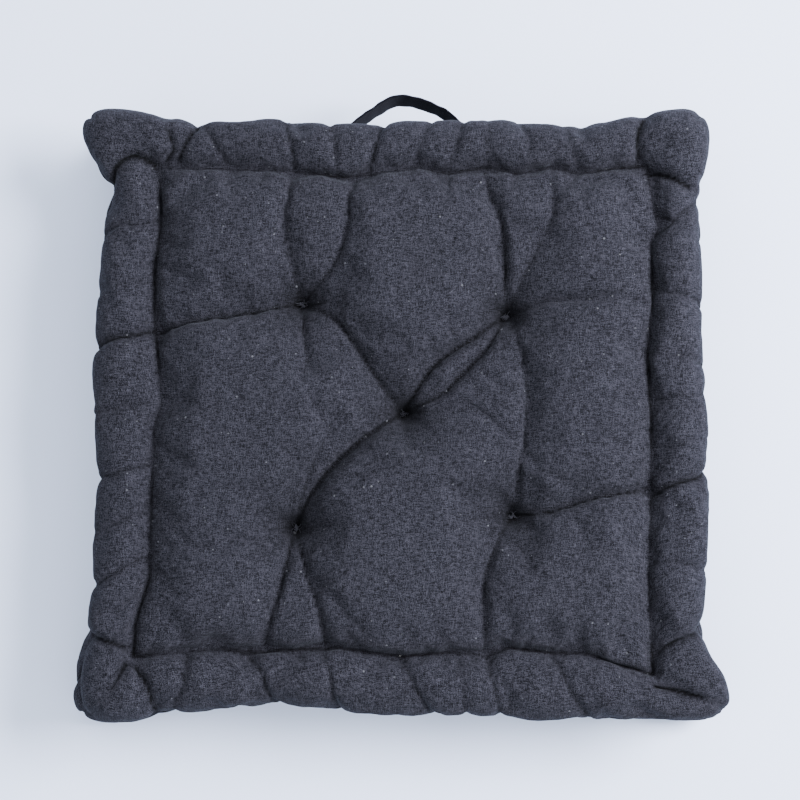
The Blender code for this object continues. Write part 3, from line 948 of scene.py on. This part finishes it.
def fibre_material():
    """Loose polyester fibre."""
    made, tree, shader = new_material("fibre", 0.95, 0.2)
    where = node(tree, "ShaderNodeTexCoord").outputs["Object"]
    strands = noise(tree, where, 180.0, detail=4.0, distortion=1.5)
    mixed = blend_colours(tree, strands, (0.62, 0.61, 0.58, 1), (0.86, 0.85, 0.82, 1))
    tree.links.new(mixed, shader.inputs["Base Color"])
    raise_surface(tree, shader, strands, 0.6, 0.001)
    return made


WEAVE = weave_group()
LINT = lint_group()
LINT_COLOUR = (0.42, 0.43, 0.47, 1)
CHARCOAL_COTTON = cloth_material(
    "charcoal_cotton", warp=(0.0024, 0.0024, 0.0038, 1), weft=(0.0370, 0.0370, 0.0485, 1),
    yarn=0.00060, heather=6.8, patch=0.06, lint=0.14, sheen=0.04,
)
STRAP_COTTON = cloth_material(
    "strap_cotton", warp=(0.0018, 0.0018, 0.0034, 1), weft=(0.0060, 0.0060, 0.0105, 1),
    yarn=0.0005, heather=2.0, patch=0.05, lint=0.1, sheen=0.05,
)
DARK_THREAD = thread_material("dark_thread", (0.002, 0.002, 0.003, 1), (0.009, 0.009, 0.013, 1))
TIE_THREAD = thread_material("tie_thread", (0.004, 0.004, 0.006, 1), (0.040, 0.040, 0.050, 1))
FIBRE = fibre_material()


# The cover

PARTS = {
    "top_panel": "cover_top",
    "bottom_panel": "cover_bottom",
    "side_band_front": "cover_side_front",
    "side_band_right": "cover_side_right",
    "side_band_back": "cover_side_back",
    "side_band_left": "cover_side_left",
}

cloth, coarse, coarse_normals, fine, part_names = finished_cloth()
fine_points, fine_normals = read_points(fine), read_normals(fine)
for node_name, piece_name in PARTS.items():
    piece = cut_part(fine, part_names, node_name)
    piece.name = piece_name
    piece.data.materials.clear()
    piece.data.materials.append(CHARCOAL_COTTON)
    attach(piece, "cushion")
    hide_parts(node_name)


# The fillings


def around(count):
    """(u, v) of places all round the cushion, from the front left corner."""
    run = [-1 + 2 * step / count for step in range(count)]
    half = [(s, -1) for s in run] + [(1, s) for s in run]
    return half + [(-u, -v) for u, v in half]


def on_ring(values, k, u, v):
    """A value of the cloth's vertices at the count k, in the direction (u, v)."""
    if k <= PANEL_CELLS:
        key, ring = ("top",), k
    elif k >= PANEL_CELLS + BAND_CELLS:
        key, ring = ("bottom",), ALL_CELLS - k
    else:
        key, ring = ("band", k - PANEL_CELLS), PANEL_CELLS
    column, row = u * ring, v * ring
    low = cloth.index[(*key, int(np.floor(column + 1e-9)), int(np.floor(row + 1e-9)))]
    high = cloth.index[(*key, int(np.ceil(column - 1e-9)), int(np.ceil(row - 1e-9)))]
    share = max((column + 1e-9) % 1, (row + 1e-9) % 1)
    return values[low] * (1 - share) + values[high] * share


def filling(name, stops, ring, node_name):
    """A stuffing piece just inside the cloth, through the cloth's counts `stops`; a ring or capped."""
    places = around(56)
    rows = []
    for k in stops:
        rows.append(np.array([on_ring(stuffing, k, u, v) for u, v in places]) + MIDDLE)
    count = len(places)
    points = [tuple(p) for line in rows for p in line]
    faces = []
    turns = len(rows) if ring else len(rows) - 1
    for a in range(turns):
        b = (a + 1) % len(rows)
        for c in range(count):
            d = (c + 1) % count
            faces.append((a * count + c, b * count + c, b * count + d, a * count + d))
    if not ring:
        for row, corners in ((0, 1), (len(rows) - 1, -1)):
            points.append(tuple(np.mean(rows[row], axis=0)))
            for c in range(count):
                faces.append((len(points) - 1, row * count + c, row * count + (c + 1) % count)[::corners])
    mesh = bpy.data.meshes.new(name)
    mesh.from_pydata(points, [], faces)
    bm = bmesh.new()
    bm.from_mesh(mesh)
    bmesh.ops.recalc_face_normals(bm, faces=bm.faces)
    bm.to_mesh(mesh)
    bm.free()
    mesh.shade_smooth()
    piece = show(name, mesh, FIBRE, nodes=[node_name])


def pressed_in(where):
    """How much further than the gap the fillings draw back, under folds and in the corners."""
    u, v, k = where.T
    flat = laid_out(where)[:, :2]
    total = 0.9 * field_depth(flat, k, narrow=2.5) + 0.9 * pucker_depth(u, v, k)
    total += crease_depth(u, v, k, flat, narrow=1.5)
    total += 0.007 * np.abs(u * v) ** 8
    return total


stuffing = coarse - coarse_normals * (FILL_GAP + pressed_in(cloth.where))[:, None]
roll_stops = [FIELD_CELLS + 2 + 2 * step for step in range(10)]
core_half = [*range(1, FIELD_CELLS - 2, 2), FIELD_CELLS - 2, PANEL_CELLS + UNDER_CELLS + 2]
core_stops = core_half + [ALL_CELLS - k for k in reversed(core_half)]
low_roll_stops = [ALL_CELLS - k for k in reversed(roll_stops)]
filling("core_fibre", core_stops, False, "core_filling")
filling("top_roll_fibre", roll_stops, True, "top_roll_filling")
filling("bottom_roll_fibre", low_roll_stops, True, "bottom_roll_filling")


# The strap


def strap_section():
    """(across the width, across the thickness) of the folded strap, round its edge."""
    made = []
    for step in range(28):
        turn = 2 * pi * step / 28
        width = copysign(abs(cos(turn)) ** 0.35, cos(turn)) * STRAP_WIDTH / 2
        thick = copysign(abs(sin(turn)) ** 0.55, sin(turn)) * STRAP_THICKNESS / 2
        dip = 1 - 0.16 * exp(-(((abs(width) - 0.0082) / 0.0006) ** 2))
        made.append((width, thick * dip))
    return made


def strap_mesh():
    """The strap along its route, standing on edge, with its upper edge leaning out round the loop."""
    route = smooth_path([np.array(p) for p in STRAP_ROUTE], 130)
    ways = np.gradient(route[:, :2], axis=0)
    ways /= np.linalg.norm(ways, axis=1, keepdims=True)
    gone = np.concatenate([[0], np.cumsum(np.linalg.norm(np.diff(route[:, :2], axis=0), axis=1))])
    section = strap_section()
    points, places = [], []
    for step, ((x, y, lean), way, reach) in enumerate(zip(route, ways, gone)):
        out = np.array([-way[1], way[0], 0])
        up = cos(radians(lean)) * np.array([0, 0, 1]) + sin(radians(lean)) * out
        face = np.cross(up, np.array([way[0], way[1], 0]))
        end = min(step, len(route) - 1 - step)
        taper = (0.55, 0.85, 1.0)[min(end, 2)]
        ripple = 0.00025 * sin(reach * 310) + 0.0002 * sin(reach * 530 + 1)
        for place, (width, thick) in enumerate(section):
            swell = 1 + 0.025 * sin(reach * 260 + 2)
            raised = thick * taper + ripple * width / STRAP_WIDTH * 2
            spot = np.array([x, y, HEIGHT / 2]) + up * width * swell + face * raised
            points.append(tuple(spot + MIDDLE))
            places.append((reach, place * 0.0017))
    count = len(section)
    faces = [tuple(range(count)), tuple(range((len(route) - 1) * count, len(route) * count))[::-1]]
    for a in range(len(route) - 1):
        for c in range(count):
            d = (c + 1) % count
            faces.append((a * count + c, (a + 1) * count + c, (a + 1) * count + d, a * count + d))
    mesh = bpy.data.meshes.new("strap")
    mesh.from_pydata(points, [], faces)
    uv = mesh.uv_layers.new(name="cloth")
    for loop in mesh.loops:
        uv.data[loop.index].uv = places[loop.vertex_index]
    bm = bmesh.new()
    bm.from_mesh(mesh)
    bmesh.ops.recalc_face_normals(bm, faces=bm.faces)
    bm.to_mesh(mesh)
    bm.free()
    mesh.shade_smooth()
    return mesh


STRAP_NODES = ["handle_loop", "handle_end_left", "handle_end_right"]
strap = show("strap", strap_mesh(), STRAP_COTTON, body=None, nodes=STRAP_NODES)
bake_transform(strap)


# Stitches and ties


def stitch_tree():
    """Stitches in a row along the edges of a mesh, standing up from its `up` attribute."""
    tree = bpy.data.node_groups.new("stitch_row", "GeometryNodeTree")
    socket(tree, "Route", "Geometry")
    socket(tree, "Stitch Length", "Float", value=0.003)
    socket(tree, "Stitch Spacing", "Float", value=0.004)
    socket(tree, "Thread Radius", "Float", value=0.0003)
    socket(tree, "Stitch Height", "Float", value=0.0003)
    socket(tree, "Uneven", "Float", value=0.2)
    socket(tree, "Seed", "Int", value=SEED)
    socket(tree, "Thread", "Material")
    socket(tree, "Stitches", "Geometry", "OUTPUT")
    inside = tree.nodes.new("NodeGroupInput").outputs

    def made(kind, inputs, output=0, **settings):
        return node(tree, kind, inputs, **settings).outputs[output]

    half = maths(tree, "MULTIPLY", inside["Stitch Length"], 0.5)
    start = made("ShaderNodeCombineXYZ", {0: maths(tree, "MULTIPLY", half, -1.0)})
    end = made("ShaderNodeCombineXYZ", {0: half})
    crown = made("ShaderNodeCombineXYZ", {2: maths(tree, "MULTIPLY", inside["Stitch Height"], 2.0)})
    bow = {"Resolution": 5, "Start": start, "Middle": crown, "End": end}
    arch = made("GeometryNodeCurveQuadraticBezier", bow)
    round_thread = made(
        "GeometryNodeCurvePrimitiveCircle", {"Resolution": 6, "Radius": inside["Thread Radius"]},
    )
    stitch = made(
        "GeometryNodeCurveToMesh", {"Curve": arch, "Profile Curve": round_thread, "Fill Caps": True},
    )
    row = made("GeometryNodeMeshToCurve", {"Mesh": inside["Route"]})
    along = {"Curve": row, "Length": inside["Stitch Spacing"]}
    spots = made("GeometryNodeResampleCurve", along, mode="LENGTH")
    way = made("GeometryNodeInputTangent", {})
    up = made("GeometryNodeInputNamedAttribute", {"Name": "up"}, data_type="FLOAT_VECTOR")
    turned = made("FunctionNodeAlignRotationToVector", {"Vector": way}, axis="X")
    to_up = {"Rotation": turned, "Vector": up}
    upright = made("FunctionNodeAlignRotationToVector", to_up, axis="Z", pivot_axis="X")
    least = maths(tree, "SUBTRACT", 1.0, inside["Uneven"])
    sizes = {2: least, 3: 1.0, "Seed": inside["Seed"]}
    size = made("FunctionNodeRandomValue", sizes, 1, data_type="FLOAT")
    stretch = made("ShaderNodeCombineXYZ", {0: size, 1: 1.0, 2: 1.0})
    placed = made("GeometryNodeInstanceOnPoints", {
        "Points": spots, "Instance": stitch, "Rotation": upright, "Scale": stretch,
    })
    real = made("GeometryNodeRealizeInstances", {"Geometry": placed})
    finished = made("GeometryNodeSetMaterial", {"Geometry": real, "Material": inside["Thread"]})
    out = tree.nodes.new("NodeGroupOutput")
    tree.links.new(finished, out.inputs["Stitches"])
    return tree


def stitches(name, route, ups, closed, sizes, node_name):
    """A row of stitches along a route on the cloth, as one piece."""
    count = len(route)
    edges = [(k, (k + 1) % count) for k in range(count if closed else count - 1)]
    mesh = bpy.data.meshes.new(name)
    mesh.from_pydata([tuple(p) for p in route], edges, [])
    upward = mesh.attributes.new("up", "FLOAT_VECTOR", "POINT")
    upward.data.foreach_set("vector", np.asarray(ups, dtype=np.float32).ravel())
    carrier = bpy.data.objects.new(name, mesh)
    bpy.context.scene.collection.objects.link(carrier)
    rows = carrier.modifiers.new("stitches", "NODES")
    rows.node_group = STITCH_ROW
    values = {**sizes, "Thread": DARK_THREAD}
    for item in STITCH_ROW.interface.items_tree:
        if item.in_out == "INPUT" and item.name in values:
            rows[item.identifier] = values[item.name]
    made = bpy.data.meshes.new_from_object(carrier.evaluated_get(bpy.context.evaluated_depsgraph_get()))
    bpy.data.objects.remove(carrier)
    made.shade_smooth()
    show(name, made, DARK_THREAD, nodes=[node_name])


def ring_route(k, lift):
    """Points and upward directions all round the cloth at a count, lifted off it."""
    places = around(126)
    ups = np.array([on_ring(fine_normals, k, u, v) for u, v in places])
    points = np.array([on_ring(fine_points, k, u, v) for u, v in places])
    return points + ups * lift + MIDDLE, ups


STITCH_ROW = stitch_tree()
GROOVE_STITCH = {
    "Stitch Length": 0.0062, "Stitch Spacing": 0.0105, "Thread Radius": 0.00025, "Stitch Height": 0.0003,
    "Uneven": 0.4,
}
SEAM_STITCH = {
    "Stitch Length": 0.0024, "Stitch Spacing": 0.0031, "Thread Radius": 0.00022, "Stitch Height": 0.0001,
}
CORNERS = {"back_left": (-1, 1), "back_right": (1, 1), "front_left": (-1, -1), "front_right": (1, -1)}


def stitch_rings():
    """The stitches in each groove and in each rim seam."""
    for face in ("top", "bottom"):
        groove, rim = FIELD_CELLS, PANEL_CELLS
        if face == "bottom":
            groove, rim = ALL_CELLS - groove, ALL_CELLS - rim
        route, ups = ring_route(groove, 0.0001)
        stitches(face + "_groove_stitches", route, ups, True, GROOVE_STITCH, face + "_roll_stitching")
        route, ups = ring_route(rim, 0.0)
        stitches(face + "_rim_stitches", route, ups, True, SEAM_STITCH, face + "_rim_seam")


def stitch_corners():
    """The stitches down each upright seam between two bands."""
    counts = range(PANEL_CELLS, PANEL_CELLS + BAND_CELLS + 1)
    for name, (u, v) in CORNERS.items():
        ups = np.array([on_ring(fine_normals, k, u, v) for k in counts])
        route = np.array([on_ring(fine_points, k, u, v) for k in counts]) + MIDDLE
        stitches("corner_stitches_" + name, route, ups, False, SEAM_STITCH, "corner_seam_" + name)


def stitch_strap_ends():
    """A box of stitches with one diagonal on each of the strap's sewn ends."""
    y = MIDDLE[1] + STRAP_FLAT_Y + STRAP_THICKNESS / 2 + 0.0001
    for side in ("left", "right"):
        low, high = (np.array(p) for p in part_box("handle_stitching_" + side))
        (x0, _, z0), (x1, _, z1) = low, high
        turns = [(x0, z0), (x1, z0), (x1, z1), (x0, z1), (x0, z0), (x1, z1)]
        route = []
        for (xa, za), (xb, zb) in zip(turns, turns[1:]):
            route += [(xa + (xb - xa) * t / 6, y, za + (zb - za) * t / 6) for t in range(6)]
        ups = [(0, 1, 0)] * len(route)
        stitches("strap_stitches_" + side, route, ups, False, SEAM_STITCH, "handle_stitching_" + side)


stitch_rings()
stitch_corners()
stitch_strap_ends()


def tube(bm, route, radius, sides=6):
    """A round thread along a route, with closed ends."""
    rings = []
    for k, spot in enumerate(route):
        way = Vector(route[min(k + 1, len(route) - 1)]) - Vector(route[max(k - 1, 0)])
        turned = way.to_track_quat("Z", "Y")
        ring = []
        for step in range(sides):
            turn = 2 * pi * step / sides
            out = Vector((radius * cos(turn), radius * sin(turn), 0))
            ring.append(bm.verts.new(Vector(spot) + turned @ out))
        rings.append(ring)
    for a, b in zip(rings, rings[1:]):
        for k in range(sides):
            bm.faces.new((a[k], a[(k + 1) % sides], b[(k + 1) % sides], b[k]))
    bm.faces.new(rings[0][::-1])
    bm.faces.new(rings[-1])


def tie(name, rng):
    """One tie: a cord through the core, wound into a knot on both panels, with frayed tails."""
    x, y = TUFTS[name]
    away = np.hypot(coarse[:, 0] - x, coarse[:, 1] - y)
    on_top = is_top(cloth.where[:, 2])
    near = np.argmin(np.where(on_top, away, away + 1))
    under = np.argmin(np.where(on_top, away + 1, away))
    bm = bmesh.new()
    x0, y0 = x + MIDDLE[0], y + MIDDLE[1]
    top, foot = coarse[near][2] + 0.0006, coarse[under][2] - 0.0006
    tube(bm, [(x0, y0, foot), (x0, y0, (top + foot) / 2), (x0, y0, top)], 0.0009, 8)
    for z, out in ((top, 1), (foot, -1)):
        for turn in range(4):
            heading = rng.uniform(0, pi)
            reach = rng.uniform(0.0018, 0.0030)
            route = []
            for step in range(9):
                t = -1 + step / 4
                bow = 0.0009 * sin(t * pi)
                route.append((
                    x0 + reach * t * cos(heading) - bow * sin(heading),
                    y0 + reach * t * sin(heading) + bow * cos(heading),
                    z + out * (0.0007 * (1 - t * t) + 0.0003 * turn),
                ))
            tube(bm, route, 0.00038)
        for _ in range(7):
            heading = rng.uniform(0, 2 * pi)
            reach = rng.uniform(0.003, 0.0075)
            curl = rng.uniform(-1.4, 1.4)
            route = []
            for step in range(7):
                t = step / 6
                aim = heading + curl * t
                route.append((
                    x0 + reach * t * cos(aim),
                    y0 + reach * t * sin(aim),
                    z + out * (0.0008 + 0.0030 * t * (1.5 - t) + 0.0014 * t * t),
                ))
            tube(bm, route, rng.uniform(0.00010, 0.00024), 4)
    mesh = bpy.data.meshes.new("tie_cord_" + name)
    bm.to_mesh(mesh)
    bm.free()
    mesh.shade_smooth()
    show("tie_cord_" + name, mesh, TIE_THREAD, nodes=["tie_" + name])


tie_rng = np.random.default_rng(SEED + 1)
for tuft_name in TUFT_NAMES:
    tie(tuft_name, tie_rng)


# The stage


def lamp(name, place, target, size, power, colour):
    """A soft square light aimed at a point."""
    data = bpy.data.lights.new(name, "AREA")
    data.shape = "RECTANGLE"
    data.size, data.size_y = size
    data.energy = power
    data.color = colour
    made = bpy.data.objects.new(name, data)
    bpy.context.scene.collection.objects.link(made)
    made.location = place
    made.rotation_euler = (Vector(target) - Vector(place)).to_track_quat("-Z", "Y").to_euler()


floor_mesh = bpy.data.meshes.new("floor")
floor_corners = [(x, y, -0.0005) for x, y in ((-6, -6), (6, -6), (6, 6), (-6, 6))]
floor_mesh.from_pydata(floor_corners, [], [(0, 1, 2, 3)])
floor = bpy.data.objects.new("floor", floor_mesh)
bpy.context.scene.collection.objects.link(floor)
floor_finish = bpy.data.materials.new("pale_floor")
floor_finish.use_nodes = True
floor_shader = floor_finish.node_tree.nodes["Principled BSDF"]
floor_shader.inputs["Base Color"].default_value = (0.68, 0.77, 1.0, 1)
floor_shader.inputs["Roughness"].default_value = 0.9
floor_mesh.materials.append(floor_finish)

target = Vector((-0.0025, MIDDLE[1] + 0.0085, HEIGHT))
lamp("key", (1.6, 0.4, 1.5), target, (1.1, 1.1), 197, (0.98, 0.98, 1.03))
lamp("fill", (-1.2, -0.9, 1.9), target, (1.8, 1.8), 7, (0.94, 0.97, 1.0))
world = bpy.data.worlds.new("studio")
world.use_nodes = True
sky = world.node_tree.nodes["Background"]
sky.inputs["Color"].default_value = (0.90, 0.94, 1.0, 1)
sky.inputs["Strength"].default_value = 1.93
bpy.context.scene.world = world

camera_data = bpy.data.cameras.new("camera")
camera_data.lens = 81
camera_data.sensor_width = 36
camera = bpy.data.objects.new("camera", camera_data)
bpy.context.scene.collection.objects.link(camera)
elevation = radians(84)
distance = 1.5
camera.location = target + Vector((0, -cos(elevation), sin(elevation))) * distance
camera.rotation_euler = (pi / 2 - elevation, 0, 0)
bpy.context.scene.camera = camera
